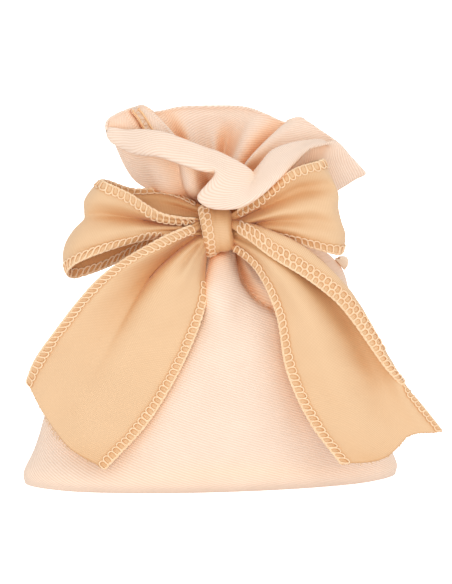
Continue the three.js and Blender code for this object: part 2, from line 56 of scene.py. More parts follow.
BASE_WIDTH = 99
BODY_DEPTH = 49
BODY_HEIGHT = 64.5
CORNER_RISE = 0.3
CORNER_ROUND = 0.4
BASE_TWIST = 10  # degrees
LENS = 0.4  # share by which the bag is thinner at its sides than an ellipse
NECK_RADIUS = 8.5
NECK_HEIGHT = 10
NECK_OFFSET = 2
SHOULDER_LEAN = 2.8
PLEAT_DEPTH = 5.3
FINE_PLEAT_DEPTH = 0.9
MOUTH_WIDTH = 68
MOUTH_DEPTH = 32
FRILL_HEIGHT = 22.5
PANEL_WIDTH = 108
PANEL_GAP = 0.12
RIBBON = 0.5
RIBBON_WIDTH = 30
LOOP_DEPTH = 10
KNOT_WIDTH = 10
KNOT_HEIGHT = 11.8
KNOT_DEPTH = 8
LEFT_LOOP_LENGTH = 35.5
RIGHT_LOOP_LENGTH = 27.5
LEFT_TAIL_LENGTH = 61
RIGHT_TAIL_LENGTH = 67
TAIL_CLEARANCE = 1.2
WRAP_INNER = 9.35
WRAP_OUTER = 10.95
FILLING_HEIGHT = 52
FILLING_INSET = 7
FILLING_ROOM = 1.6
SEAM_WIDTH = 5
SEAM_THICKNESS = 0.6
SEAM_GAP = 0.45
SEAM_LINE = 0.27
SEAM_ZIGZAG = 0.1
ZIGZAG_PITCH = 0.9
TAB_REACH = 2.8
TAB_HEIGHT = 3.4
TAB_SHARE = 0.885  # of the body's height
STITCH_PITCH = 1.7
STITCH_WIDTH = 2.4
DOUBLED_STITCH_WIDTH = 1.9
THREAD = 0.2

NECK_TOP = BODY_HEIGHT + NECK_HEIGHT
KNOT = np.array([NECK_OFFSET, -(WRAP_OUTER + 0.3 + KNOT_DEPTH / 2), BODY_HEIGHT + NECK_HEIGHT / 2 - 1])

# Way from the part's own frame to the row frame, found at the ribbon round the neck
wrap_low, wrap_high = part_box("neck_wrap")
SHIFT = np.array([500 * (wrap_low.x + wrap_high.x) - NECK_OFFSET, 500 * (wrap_low.y + wrap_high.y), 0])


# Helpers
def smooth(low, high, value):
    """0 up to low, 1 from high on and an even rise between them."""
    share = np.clip((np.asarray(value, float) - low) / (high - low), 0, 1)
    return share * share * (3 - 2 * share)


def bump(middle, width, value):
    """1 at middle, falling off evenly to both sides."""
    return np.exp(-(((np.asarray(value, float) - middle) / width) ** 2))


def spline(points, t):
    """Points at shares t of a centripetal Catmull-Rom curve through points, or of a row of such curves."""
    p = np.asarray(points, float)
    longer = np.concatenate([[2 * p[0] - p[1]], p, [2 * p[-1] - p[-2]]])
    at = np.asarray(t, float) * (len(p) - 1)
    k = np.clip(np.floor(at).astype(int), 0, len(p) - 2)
    q = [longer[k + i] for i in range(4)]
    w = (at - k).reshape((-1,) + (1,) * (p.ndim - 1))
    gaps = [np.linalg.norm(b - a, axis=-1, keepdims=True) for a, b in zip(q, q[1:])]
    step = [np.maximum(np.sqrt(gap), 1e-3) for gap in gaps]
    d1 = (q[1] - q[0]) / step[0] - (q[2] - q[0]) / (step[0] + step[1]) + (q[2] - q[1]) / step[1]
    d2 = (q[2] - q[1]) / step[1] - (q[3] - q[1]) / (step[1] + step[2]) + (q[3] - q[2]) / step[2]
    d1, d2 = d1 * step[1], d2 * step[1]
    c2 = -3 * q[1] + 3 * q[2] - 2 * d1 - d2
    c3 = 2 * q[1] - 2 * q[2] + d1 + d2
    return q[1] + d1 * w + c2 * w**2 + c3 * w**3


def keyed(keys, t):
    """A smooth value through (share, value) keys."""
    at, value = np.array(keys, float).T
    t = np.clip(np.asarray(t, float), at[0], at[-1])
    k = np.clip(np.searchsorted(at, t, side="right") - 1, 0, len(at) - 2)
    slope = np.gradient(value, at)
    width = at[k + 1] - at[k]
    w = (t - at[k]) / width
    return (
        value[k] * (1 + 2 * w) * (1 - w) ** 2
        + value[k + 1] * w**2 * (3 - 2 * w)
        + width * (slope[k] * w * (1 - w) ** 2 - slope[k + 1] * w**2 * (1 - w))
    )


def ripples(x, y, size, seed, count=16):
    """Smooth uneven ripples, mostly between -1 and 1, with about that wavelength."""
    rng = np.random.default_rng(seed)
    turn, phase = rng.uniform(0, 2 * np.pi, (2, count))
    pace = 2 * np.pi / size * rng.uniform(0.6, 1.4, count)
    total = 0
    for a, f, p in zip(turn, pace, phase):
        total = total + np.sin(f * (x * np.cos(a) + y * np.sin(a)) + p)
    return total / math.sqrt(2 * count)


def joined(*values):
    """An array of points from arrays of their coordinates."""
    return np.stack(np.broadcast_arrays(*values), -1)


def unit(vectors):
    return vectors / np.maximum(np.linalg.norm(vectors, axis=-1, keepdims=True), 1e-9)


def grid_normals(points):
    return unit(np.cross(np.gradient(points, axis=1), np.gradient(points, axis=0)))


def add_object(name, data):
    obj = bpy.data.objects.new(name, data)
    bpy.context.scene.collection.objects.link(obj)
    return obj


def add_mesh(name, points, faces, material, uv=None):
    """A smooth-shaded mesh from points in the part's millimetres."""
    mesh = bpy.data.meshes.new(name)
    mesh.from_pydata(((points + SHIFT) / 1000).tolist(), [], faces)
    mesh.polygons.foreach_set("use_smooth", [True] * len(mesh.polygons))
    if uv is not None:
        layer = mesh.uv_layers.new(name="Cloth")
        corner = np.empty(len(mesh.loops), int)
        mesh.loops.foreach_get("vertex_index", corner)
        layer.uv.foreach_set("vector", np.asarray(uv, np.float32)[corner].ravel())
    mesh.materials.append(material)
    mesh.validate()
    mesh.update()
    return add_object(name, mesh)


def cloth_sheet(name, points, uv, thickness, material):
    """A closed sheet of cloth with rounded edges round a grid of middle points."""
    rows, columns = points.shape[:2]
    normal = grid_normals(points)
    half = thickness / 2
    front, back = points + normal * half, points - normal * half
    count = rows * columns
    index = np.arange(count).reshape(rows, columns)
    ring = np.concatenate([index[0], index[1:, -1], index[-1, -2::-1], index[-2:0:-1, 0]])
    j, i = np.divmod(ring, columns)
    out = points[j, i] - points[np.clip(j, 1, rows - 2), np.clip(i, 1, columns - 2)]
    out = out - normal[j, i] * np.sum(out * normal[j, i], axis=-1, keepdims=True)
    rim = points[j, i] + unit(out) * half
    a = index[:-1, :-1].ravel()
    quads = np.stack([a, a + 1, a + columns + 1, a + columns], 1)
    edge = 2 * count + np.arange(len(ring))
    following, after = np.roll(ring, -1), np.roll(edge, -1)
    upper = np.stack([following, ring, edge, after], 1)
    lower = np.stack([after, edge, count + ring, count + following], 1)
    faces = np.concatenate([quads, quads[:, ::-1] + count, upper, lower]).tolist()
    flat_uv = uv.reshape(-1, 2)
    everything = np.concatenate([front.reshape(-1, 3), back.reshape(-1, 3), rim])
    return add_mesh(name, everything, faces, material, np.concatenate([flat_uv, flat_uv, flat_uv[ring]]))


def tube(path, radius, sides, closed=False):
    """Points and faces of a round tube along a path, with capped ends if it is open."""
    run = np.roll(path, -1, 0) - np.roll(path, 1, 0) if closed else np.gradient(path, axis=0)
    run = unit(run)
    guide = np.array([0.31, 0.9, 0.29])
    if abs(run @ guide).max() > 0.97:
        guide = np.array([0.9, -0.2, 0.39])
    first = unit(np.cross(run, guide))
    second = np.cross(run, first)
    turn = np.arange(sides) / sides * 2 * np.pi
    size = np.broadcast_to(radius, len(path))[:, None, None]
    ring = first[:, None] * np.cos(turn)[None, :, None] + second[:, None] * np.sin(turn)[None, :, None]
    points = (path[:, None] + ring * size).reshape(-1, 3)
    index = np.arange(len(points)).reshape(-1, sides)
    here, there = (index, np.roll(index, -1, 0)) if closed else (index[:-1], index[1:])
    quads = np.stack([here, there, np.roll(there, -1, 1), np.roll(here, -1, 1)], -1)
    caps = [] if closed else [index[0].tolist(), index[-1, ::-1].tolist()]
    return points, quads.reshape(-1, 4).tolist() + caps


def add_tubes(name, tubes, material):
    points, faces, start = [], [], 0
    for p, f in tubes:
        points.append(p)
        faces += [[i + start for i in face] for face in f]
        start += len(p)
    return add_mesh(name, np.concatenate(points), faces, material)


def run_length(path):
    """Distance along a path to each of its points."""
    return np.concatenate([[0], np.cumsum(np.linalg.norm(np.diff(path, axis=0), axis=1))])


def resample(path, spacing):
    """Places along a path at even spacing: fractional indices into it."""
    length = run_length(path)
    count = max(2, int(round(length[-1] / spacing)))
    return np.interp((np.arange(count) + 0.5) / count * length[-1], length, np.arange(len(path)))


def pick(values, place):
    """Values of a row at fractional indices."""
    k = np.clip(np.floor(place).astype(int), 0, len(values) - 2)
    w = (place - k)[:, None]
    return values[k] * (1 - w) + values[k + 1] * w


def sample(grid, row, column):
    """Values of a grid at fractional rows and columns, also a little outside it."""
    j = np.clip(np.floor(row).astype(int), 0, grid.shape[0] - 2)
    i = np.clip(np.floor(column).astype(int), 0, grid.shape[1] - 2)
    a, b = (row - j)[..., None], (column - i)[..., None]
    low = grid[j, i] * (1 - b) + grid[j, i + 1] * b
    high = grid[j + 1, i] * (1 - b) + grid[j + 1, i + 1] * b
    return low * (1 - a) + high * a


def ribbon_uv(points):
    """Millimetres across and along a ribbon, with the length of its middle."""
    along = run_length(points[:, points.shape[1] // 2])
    across = np.linspace(0, RIBBON_WIDTH, points.shape[1])
    return joined(across[None, :], along[:, None])


# Materials
FLOOR_REACH = 0.03  # metres above the floor up to which nearness to the floor doesn't bring painted fold shade


def add_node(tree, kind, inputs, **settings):
    """A new node, with inputs that are values or other nodes' outputs."""
    node = tree.nodes.new(f"ShaderNode{kind}")
    for label, value in settings.items():
        setattr(node, label, value)
    for label, value in inputs.items():
        if isinstance(value, bpy.types.NodeSocket):
            tree.links.new(value, node.inputs[label])
        else:
            node.inputs[label].default_value = value
    return node


def new_material(name):
    material = bpy.data.materials.new(name)
    material.use_nodes = True
    material.node_tree.nodes.clear()
    return material, material.node_tree


def shaded(material, inputs):
    shader = add_node(material.node_tree, "BsdfPrincipled", inputs)
    add_node(material.node_tree, "OutputMaterial", {"Surface": shader.outputs["BSDF"]})
    return material


def ramp(tree, value, colours):
    """Colours along a ramp; the first and the last go to the two stops that a new ramp has."""
    node = add_node(tree, "ValToRGB", {"Fac": value})
    stops = node.color_ramp.elements
    for end in (0, -1):
        stops[end].position, stops[end].color = colours[end][0], (*colours[end][1], 1)
    for place, colour in colours[1:-1]:
        stops.new(place).color = (*colour, 1)
    return node.outputs["Color"]


def cloth_bands(tree, pitch, turn, distortion):
    """Even bands across the cloth, with that pitch in millimetres and that turn in degrees."""
    place = add_node(tree, "UVMap", {}, uv_map="Cloth").outputs["UV"]
    mapping = add_node(tree, "Mapping", {"Vector": place, "Rotation": (0, 0, math.radians(turn))})
    inputs = {"Vector": mapping.outputs["Vector"], "Scale": math.pi / 10 / pitch, "Distortion": distortion}
    inputs |= {"Detail": 1, "Detail Scale": 0.6}
    return add_node(tree, "TexWave", inputs, wave_type="BANDS", bands_direction="Y").outputs["Fac"]


def multiplied(tree, first, second):
    inputs = {"Factor": 1, "A": first, "B": second}
    return add_node(tree, "Mix", inputs, data_type="RGBA", blend_type="MULTIPLY").outputs["Result"]


def object_place(tree):
    return add_node(tree, "TexCoord", {}).outputs["Object"]


def noise(tree, scale, detail):
    inputs = {"Vector": object_place(tree), "Scale": scale, "Detail": detail}
    return add_node(tree, "TexNoise", inputs).outputs["Fac"]


def math_node(tree, kind, *values):
    return add_node(tree, "Math", dict(enumerate(values)), operation=kind).outputs["Value"]


def bumped(tree, height, distance, strength):
    inputs = {"Height": height, "Distance": distance, "Strength": strength}
    return add_node(tree, "Bump", inputs).outputs["Normal"]


def painted_fold_shade(tree, colour, shade_tints, distance):
    """The colour times painted shade: a tint by how closed in the cloth is, darkest deep in folds and
    recesses; the floor doesn't count.
    """
    folds = add_node(tree, "AmbientOcclusion", {"Distance": distance}, samples=8)
    height = add_node(tree, "SeparateXYZ", {"Vector": object_place(tree)}).outputs["Z"]
    beside_floor = math_node(tree, "MULTIPLY_ADD", height, -1 / FLOOR_REACH, 0.97)
    openness = math_node(tree, "MAXIMUM", folds.outputs["AO"], beside_floor)
    return multiplied(tree, colour, ramp(tree, openness, [*shade_tints, (0.95, (1, 1, 1))]))


def twill_material():
    material, tree = new_material("peach_twill")
    ribs = cloth_bands(tree, 0.62, 24, 0.5)
    warp = cloth_bands(tree, 0.31, 86, 0.5)
    tones = [(0.0, (0.8, 0.595, 0.455)), (0.55, (0.885, 0.705, 0.58)), (1.0, (0.9, 0.725, 0.6))]
    patches = ramp(tree, noise(tree, 90, 3), [(0.3, (0.96, 0.95, 0.94)), (0.7, (1, 1, 1))])
    # Painted shade for the twill's folds and recesses; its red rises above the lit cloth's, a painted warm
    # glow standing for light bounced through the cloth.
    shade_tints = [(0.05, (0.8, 0.38, 0.16)), (0.28, (1.02, 0.71, 0.47))]
    shade_tints += [(0.5, (1.1, 0.95, 0.78)), (0.72, (1.09, 1.03, 0.95))]
    inputs = {
        "Base Color": painted_fold_shade(tree, multiplied(tree, ramp(tree, ribs, tones), patches), shade_tints, 0.012),
        "Normal": bumped(tree, math_node(tree, "MULTIPLY_ADD", warp, 0.2, ribs), 0.00012, 0.5),
        "Roughness": 0.85,
        "Sheen Weight": 0.15,
        "Sheen Roughness": 0.5,
        "Specular IOR Level": 0.25,
    }
    return shaded(material, inputs)


def ribbon_material(name, dark, middle, light, shade_reach=0.018):
    material, tree = new_material(name)
    weave = math_node(tree, "MULTIPLY", cloth_bands(tree, 0.42, 0, 0.8), cloth_bands(tree, 0.36, 90, 0.8))
    tone = ramp(tree, weave, [(0.0, dark), (0.5, middle), (1.0, light)])
    patches = ramp(tree, noise(tree, 90, 4), [(0.3, (0.97, 0.965, 0.96)), (0.7, (1, 1, 1))])
    # Painted shade for the ribbon's folds and for where it lies close over the bag, the knot and other
    # ribbon.
    shade_tints = [(0.05, (0.92, 0.58, 0.32)), (0.3, (0.92, 0.7, 0.49)), (0.65, (0.92, 0.775, 0.615))]
    inputs = {
        "Base Color": painted_fold_shade(tree, multiplied(tree, tone, patches), shade_tints, shade_reach),
        "Normal": bumped(tree, weave, 0.0001, 0.45),
        "Roughness": 0.72,
        "Sheen Weight": 0.2,
        "Sheen Roughness": 0.45,
        "Specular IOR Level": 0.3,
    }
    return shaded(material, inputs)


def fibre_material(name, dark, light, grain, relief, height, inputs):
    """Plain fibres: grain and relief are the scale and the detail of the noise in their tone and surface."""
    material, tree = new_material(name)
    tone = ramp(tree, noise(tree, *grain), [(0.3, dark), (0.7, light)])
    normal = bumped(tree, noise(tree, *relief), *height)
    return shaded(material, inputs | {"Base Color": tone, "Normal": normal})


def thread_material(name, dark, light):
    inputs = {"Roughness": 0.6, "Sheen Weight": 0.15, "Specular IOR Level": 0.35}
    return fibre_material(name, dark, light, (1400, 4), (3500, 2), (0.00006, 0.5), inputs)


def wadding_material():
    dark, light = (0.83, 0.80, 0.75), (0.93, 0.91, 0.87)
    inputs = {"Roughness": 1, "Sheen Weight": 0.3}
    return fibre_material("white_wadding", dark, light, (500, 6), (900, 6), (0.0006, 0.7), inputs)


TWILL = twill_material()
RIBBON_CLOTH = ribbon_material("tan_ribbon", (0.725, 0.47, 0.268), (0.805, 0.55, 0.332), (0.82, 0.565, 0.345))
# The tab's ribbon is paler than the bow's; its colours are also brightened and its painted fold shade kept
# short, painted light against the shade the right loop casts on it.
TAB_CLOTH = ribbon_material("pale_brightened_ribbon", (0.88, 0.72, 0.55), (0.93, 0.79, 0.63), (0.95, 0.81, 0.66), 0.004)
STITCH = thread_material("overlock_thread", (0.83, 0.57, 0.34), (0.92, 0.68, 0.45))
SEAM_STITCH = thread_material("seam_thread", (0.82, 0.50, 0.25), (0.90, 0.60, 0.34))
FRAYED = thread_material("frayed_thread", (0.66, 0.40, 0.20), (0.80, 0.53, 0.30))
WADDING = wadding_material()


def place(obj, body, nodes, slot, joint=None):
    """Puts a piece on its body, or, when a joint is given, only bakes the piece's place into its mesh and
    leaves it on no body; hides the named CAD parts.
    """
    if joint is None:
        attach(obj, body)
    else:
        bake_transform(obj)
    if nodes:
        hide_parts(*nodes)
    return obj


# Bag: shares of its height, and of half its width and half its depth there
body_shares = [
    (0.006, 0.995, 0.8),
    (0.045, 1.0, 0.93),
    (0.14, 0.945, 0.98),
    (0.31, 0.88, 1.0),
    (0.5, 0.83, 0.98),
    (0.66, 0.76, 0.915),
    (0.8, 0.658, 0.8),
    (0.89, 0.578, 0.65),
    (0.95, 0.475, 0.52),
]
body_keys = [(h * BODY_HEIGHT, w * BASE_WIDTH / 2, d * BODY_DEPTH / 2) for h, w, d in body_shares]
body_keys.append((BODY_HEIGHT, NECK_RADIUS, NECK_RADIUS))
profile = spline(body_keys, np.linspace(0, 1, 400))


def body_at(height):
    """Half the bag's width and half its depth at a height."""
    return tuple(np.interp(height, profile[:, 0], profile[:, i]) for i in (1, 2))


def middle_at(height):
    """Where the middle of the bag lies at a height, from left to right."""
    share = height / BODY_HEIGHT
    lean = SHOULDER_LEAN * smooth(0.72, 0.9, share) * (1 - smooth(0.95, 1, share))
    return NECK_OFFSET * smooth(0, 1, share) + lean


def twist_at(height):
    return math.radians(BASE_TWIST) * (1 - smooth(0, BODY_HEIGHT, height))


def twisted(points):
    """Points turned about the part's axis by the twist at their height."""
    x, y, z = (points[..., i] for i in range(3))
    cosine, sine = np.cos(twist_at(z)), np.sin(twist_at(z))
    return joined(x * cosine - y * sine, x * sine + y * cosine, z)


def front_depth(x, z):
    """How far the bag's front lies before the part's axis."""
    width, depth = body_at(z)
    turn = twist_at(z)
    across = np.minimum(1, np.abs(x - middle_at(z)) / width)
    return depth * np.sqrt(1 - across**2) * (1 - LENS * across**2) * np.cos(turn) - x * np.sin(turn)


# Frill, for each direction round the bag in degrees: its rim, the bowl under it and, where it rolls over,
# the lip's edge. They are shares of half the mouth's width and depth, from the neck's axis, and of the
# frill's height over the neck.
frill_shares = [
    (0, (1.12, 0.0, 0.32), (0.82, 0.0, 0.06)),
    (20, (1.02, 0.24, 0.47), (0.68, 0.27, 0.13)),
    (36, (0.91, 0.36, 0.64), (0.5, 0.34, 0.27)),
    (46, (0.78, 0.45, 0.77), (0.4, 0.22, 0.38)),
    (52, (0.69, 0.48, 0.86), (0.3, 0.08, 0.42)),
    (56, (0.615, 0.5, 0.918), (0.25, -0.02, 0.43)),
    (59, (0.535, 0.53, 0.88), (0.215, -0.06, 0.43)),
    (62, (0.59, 0.66, 0.85), (0.36, 0.2, 0.42)),
    (67, (0.6, 0.8, 0.82), (0.45, 0.54, 0.41)),
    (73, (0.5, 0.84, 0.835), (0.31, 0.65, 0.4)),
    (80, (0.38, 0.78, 0.92), (0.17, 0.5, 0.38)),
    (95, (0.2, 0.95, 1.0), (0.07, 0.75, 0.38)),
    (110, (-0.05, 0.94, 1.015), (-0.06, 0.75, 0.38)),
    (124, (-0.3, 0.82, 1.01), (-0.18, 0.58, 0.38)),
    (137, (-0.47, 0.85, 0.955), (-0.27, 0.66, 0.4)),
    (145, (-0.64, 0.72, 0.93), (-0.42, 0.52, 0.43)),
    (151, (-0.515, 0.36, 0.985), (-0.26, 0.19, 0.5)),
    (160, (-0.575, 0.28, 1.07), (-0.31, 0.13, 0.56)),
    (171, (-0.65, 0.14, 1.06), (-0.4, 0.07, 0.47)),
    (180, (-0.73, 0.0, 1.03), (-0.48, 0.0, 0.38)),
    (187, (-0.8, -0.08, 0.985), (-0.57, -0.07, 0.31)),
    (194, (-0.86, -0.15, 0.91), (-0.63, -0.13, 0.24)),
    (200, (-0.84, -0.23, 0.85), (-0.57, -0.23, 0.19), (-0.85, -0.31, 0.77)),
    (210, (-0.71, -0.42, 0.84), (-0.49, -0.4, 0.15), (-0.74, -0.52, 0.66)),
    (222, (-0.57, -0.62, 0.86), (-0.4, -0.66, 0.15), (-0.61, -0.78, 0.61)),
    (234, (-0.41, -0.81, 0.84), (-0.28, -0.82, 0.2), (-0.45, -0.99, 0.6)),
    (244, (-0.24, -0.94, 0.76), (-0.17, -0.88, 0.2), (-0.29, -1.14, 0.53)),
    (252, (-0.1, -1.0, 0.68), (-0.09, -0.8, 0.2), (-0.12, -1.27, 0.46)),
    (257, (-0.01, -1.02, 0.64), (-0.03, -0.95, 0.22), (-0.02, -1.26, 0.435)),
    (261, (0.05, -1.04, 0.6), (0.0, -1.02, 0.22), (-0.03, -1.3, 0.375)),
    (265, (0.095, -1.05, 0.565), (0.02, -1.05, 0.22), (-0.08, -1.35, 0.29)),
    (269, (0.14, -1.06, 0.53), (0.04, -1.05, 0.22), (-0.15, -1.41, 0.155)),
    (274, (0.195, -1.06, 0.48), (0.07, -1.0, 0.21), (-0.06, -1.45, 0.05)),
    (279, (0.24, -1.06, 0.43), (0.1, -0.92, 0.2), (0.09, -1.47, 0.04)),
    (285, (0.28, -1.05, 0.38), (0.13, -0.82, 0.2), (0.22, -1.46, 0.1)),
    (291, (0.33, -0.95, 0.49), (0.19, -0.69, 0.22), (0.33, -1.39, 0.2)),
    (299, (0.41, -0.8, 0.63), (0.28, -0.59, 0.24), (0.46, -1.25, 0.37)),
    (308, (0.55, -0.61, 0.7), (0.38, -0.47, 0.24), (0.56, -1.03, 0.49)),
    (318, (0.69, -0.44, 0.72), (0.47, -0.34, 0.2), (0.68, -0.66, 0.64)),
    (328, (0.8, -0.29, 0.71), (0.56, -0.25, 0.16), (0.8, -0.41, 0.68)),
    (340, (0.91, -0.22, 0.68), (0.66, -0.22, 0.11)),
    (350, (1.02, -0.13, 0.49), (0.76, -0.13, 0.08)),
]
HEM_SHARE = 0.18  # of the way down to the bowl, where the rim doesn't roll over
TONGUE = (252, 285)  # directions between which the lip's edge doubles back on itself


def frill_mm(share):
    return np.array(share) * [MOUTH_WIDTH / 2, MOUTH_DEPTH / 2, FRILL_HEIGHT] + [NECK_OFFSET, 0, NECK_TOP]


frill_degrees = np.array([row[0] for row in frill_shares], float)
rims, frill_bowls = (frill_mm([row[i] for row in frill_shares]) for i in (1, 2))
frill_edges = frill_mm([row[3] if len(row) > 3 else row[1] for row in frill_shares])
hems = np.array([[0 if len(row) > 3 else HEM_SHARE] for row in frill_shares])
frill_crests = rims * (1 - hems) + frill_bowls * hems


def round_bag(values, angle, degrees_of_keys=frill_degrees):
    """Values of the frill's keys at any angle round the bag."""
    at = np.concatenate([degrees_of_keys + turn for turn in (-360, 0, 360)])
    columns = np.concatenate([values] * 3).T
    degrees = np.degrees(angle) % 360
    return np.stack([keyed(np.stack([at, column], 1), degrees) for column in columns], -1)


def pleats(angle):
    """Uneven gathers round the neck, from 0 on a ridge to 1 in a valley; the seams lie on ridges."""
    phase = 8 * angle + 0.55 * np.sin(2 * angle) + 0.7 * np.sin(4 * angle)
    strength = 0.86 + 0.14 * np.sin(3 * angle + 0.8)
    return strength * (0.5 - 0.5 * np.cos(phase))


# Folds of the body under the knot: their x at shares of the body's height, their width
# and their depth inwards
body_folds = [
    ([(0.6, 1.4), (1, 1.2)], 4.6, -6.0),
    ([(0.7, 20), (0.78, 13.8), (0.88, 8.6), (0.97, 6.8)], 1.9, 5.0),
    ([(0.7, -9), (0.97, -4.5)], 2.2, 1.4),
]


def fine_pleats(angle):
    return 0.5 - 0.5 * np.cos(22 * angle + 0.9 * np.sin(2 * angle) + 1.4 * np.sin(6 * angle))


def neck_ring(angle):
    fold = pleats(angle)
    radius = NECK_RADIUS - PLEAT_DEPTH * fold - FINE_PLEAT_DEPTH * fine_pleats(angle) * (1 - 0.6 * fold)
    return NECK_OFFSET + radius * np.cos(angle), radius * np.sin(angle)


# Folds of the frill's wall: direction at the neck and at the crest, width in degrees, depth in millimetres
# and the stretch between the neck and the crest that it covers
frill_pleats = [
    (222, 233, 7, 4.2, 0.1, 0.8),
    (246, 257, 6, 4.0, 0.1, 0.7),
    (99, 102, 6, -2.4, 0.15, 0.8),
    (106.5, 109, 4.5, 2.2, 0.15, 0.8),
    (80, 86, 8, 1.0, 0.3, 0.9),
    (122, 126, 7, 0.9, 0.3, 0.9),
    (322, 326, 6, 1.6, 0.2, 0.9),
]
# Rows of the bag's grid from the middle of its floor to the frill's edge
FLOOR_ROWS = 8
BODY_ROWS = 80
NECK_ROWS = 16
FRILL_ROWS = 78
CREST_AT = 1 / 3  # share of the frill's rows below its crest
LIP_CURL = 2.2  # how far the edge of a lip curls in under it
WEAVE_BLEND = 14  # columns on either side over which the weave's pitch in the frill is evened out


def body_rows(angle):
    """Rows of the bag's cloth from the bottom seam up to the neck, for each angle round it."""
    cosine, sine = np.cos(angle), np.sin(angle)
    corner = CORNER_RISE * smooth(0.72, 1, np.abs(cosine))
    start = body_keys[0]
    rows = []
    for share in np.linspace(0, 1, FLOOR_ROWS + 1)[:-1]:
        x = (start[1] - CORNER_ROUND * (1 - share) * corner / CORNER_RISE) * cosine
        rows.append(joined(x, share * start[2] * sine, CLOTH / 2 + corner * share))
    fold, fine = pleats(angle), fine_pleats(angle)
    body = spline(body_keys, np.linspace(0, 1, BODY_ROWS + 1)[:-1])
    for k, (height, width, depth) in enumerate(body):
        share = height / BODY_HEIGHT
        gathered, sharp = smooth(0.6, 1, share), smooth(0.82, 1, share)
        into = (0.22 * gathered + 0.4 * sharp) * fold + 0.09 * sharp * fine * (1 - fold)
        shown = smooth(0.62, 0.86, share) * (1 - smooth(0.95, 1, share))
        for path, wide, deep in body_folds:
            aside = middle_at(height) + width * cosine - keyed(path, share)
            into = into + deep / depth * shown * bump(0, 1, aside / wide) * (sine < 0)
        pull = 1 - into
        flatten = (1 - LENS * smooth(0, 12, height) * cosine**2) * (1 - gathered) + gathered
        x = middle_at(height) + width * pull * cosine
        z = height + corner * (1 - k / BODY_ROWS)
        rows.append(joined(x, depth * pull * flatten * sine, z))
    return rows


def frill_rows(angle, neck):
    """Rows of the frill from the neck over its crest to the edge of its lip."""
    bowl, crest, edge = (round_bag(values, angle) for values in (frill_bowls, frill_crests, frill_edges))
    single = (frill_degrees <= TONGUE[0]) | (frill_degrees >= TONGUE[1])
    hang = round_bag(frill_edges[single], angle, frill_degrees[single])
    lip = np.linalg.norm(hang - crest, axis=1, keepdims=True)
    out = unit((hang - crest) * [1, 1, 0])
    upper = crest * 0.64 + hang * 0.36 + out * lip * 0.1
    lower = crest * 0.28 + hang * 0.4 + edge * 0.32 + out * lip * 0.12
    curl = smooth(3.5, 7, lip)
    tuck = edge + (edge - lower) * 0.15 * (1 - curl) - (out + [0, 0, 0.15]) * LIP_CURL * curl
    share = np.linspace(0, 1, FRILL_ROWS)
    frill = spline([neck, bowl, crest, upper, lower, edge, tuck], share)
    share = share[:, None] / CREST_AT
    for foot, head, width, depth, first, last in frill_pleats:
        aside = np.degrees(angle) % 360 - (foot + (head - foot) * share)
        strength = smooth(first - 0.12, first + 0.12, share) * (1 - smooth(last - 0.15, last + 0.15, share))
        inwards = depth * bump(0, 1, aside / width) * strength
        frill[..., :2] -= inwards[..., None] * unit(frill[..., :2] - [NECK_OFFSET, 0])
    return frill


def bag_grid(angle):
    """Middle of the bag's cloth: rows from the bottom seam to the frill's edge for each angle."""
    x, y = neck_ring(angle)
    neck = [joined(x, y, z) for z in np.linspace(BODY_HEIGHT, NECK_TOP, NECK_ROWS + 1)]
    return np.array([*body_rows(angle), *neck[:-1], *frill_rows(angle, neck[-1])])


def panel(name, node, side):
    columns = 200
    angle = (np.pi if side < 0 else 0) + np.linspace(0, 1, columns) * np.pi
    points = bag_grid(angle)
    lengths = np.linalg.norm(np.diff(points, axis=0), axis=2)
    lengths[:-FRILL_ROWS] = lengths[:-FRILL_ROWS, columns // 2, None]
    spread = np.pad(lengths[-FRILL_ROWS:], ((0, 0), (WEAVE_BLEND, WEAVE_BLEND)), mode="edge")
    shifted = [spread[:, k:k + columns] for k in range(2 * WEAVE_BLEND + 1)]
    lengths[-FRILL_ROWS:] = np.mean(shifted, axis=0)
    along = np.concatenate([np.zeros((1, columns)), np.cumsum(lengths, axis=0)])
    across = np.linspace(0, PANEL_WIDTH, columns)[None, :]
    height = points[..., 2]
    soft = smooth(8, 22, height) * (1 - smooth(BODY_HEIGHT - 12, BODY_HEIGHT, height))
    swell = 0.35 * ripples(across, along, 26, 5) + 0.12 * ripples(across, along, 9, 6)
    points = points + grid_normals(points) * (swell * soft)[..., None]
    points[:, [0, -1], 1] += PANEL_GAP * side
    points[..., 2] = np.maximum(points[..., 2], CLOTH / 2)
    points = twisted(points)
    obj = cloth_sheet(name, points, joined(across, along), CLOTH, TWILL)
    place(obj, "bag", [node], "twill")
    return points


panel("front_panel_cloth", "front_panel", -1)
back_points = panel("back_panel_cloth", "back_panel", 1)


# Wad of filling inside the bag
def filling_wad():
    rows, columns = 44, 96
    share = np.linspace(0.02, 0.98, rows)
    height = 2.5 + (share - 0.02) * FILLING_HEIGHT
    width, depth = body_at(height)
    plump = np.sqrt(1 - np.abs(2 * share - 1) ** 5)[:, None]
    angle = np.arange(columns) / columns * 2 * np.pi
    lumps = 0.5 * ripples(60 * np.cos(angle), height[:, None] + 40 * np.sin(angle), 14, 31) - 0.6
    x = middle_at(height)[:, None] + ((width - FILLING_INSET)[:, None] * plump + lumps) * np.cos(angle)
    draw_in = 1 - LENS * np.cos(angle) ** 2
    y = ((depth - FILLING_ROOM)[:, None] * plump * draw_in + lumps) * np.sin(angle)
    points = twisted(joined(x, y, height[:, None])).reshape(-1, 3)
    index = np.arange(rows * columns).reshape(rows, columns)
    here, there = index[:-1], index[1:]
    quads = np.stack([here, np.roll(here, -1, 1), np.roll(there, -1, 1), there], -1)
    faces = quads.reshape(-1, 4).tolist() + [index[0, ::-1].tolist(), index[-1].tolist()]
    wad = place(add_mesh("filling_wad", points, faces, WADDING), "bag", ["filling"], "wadding")


filling_wad()


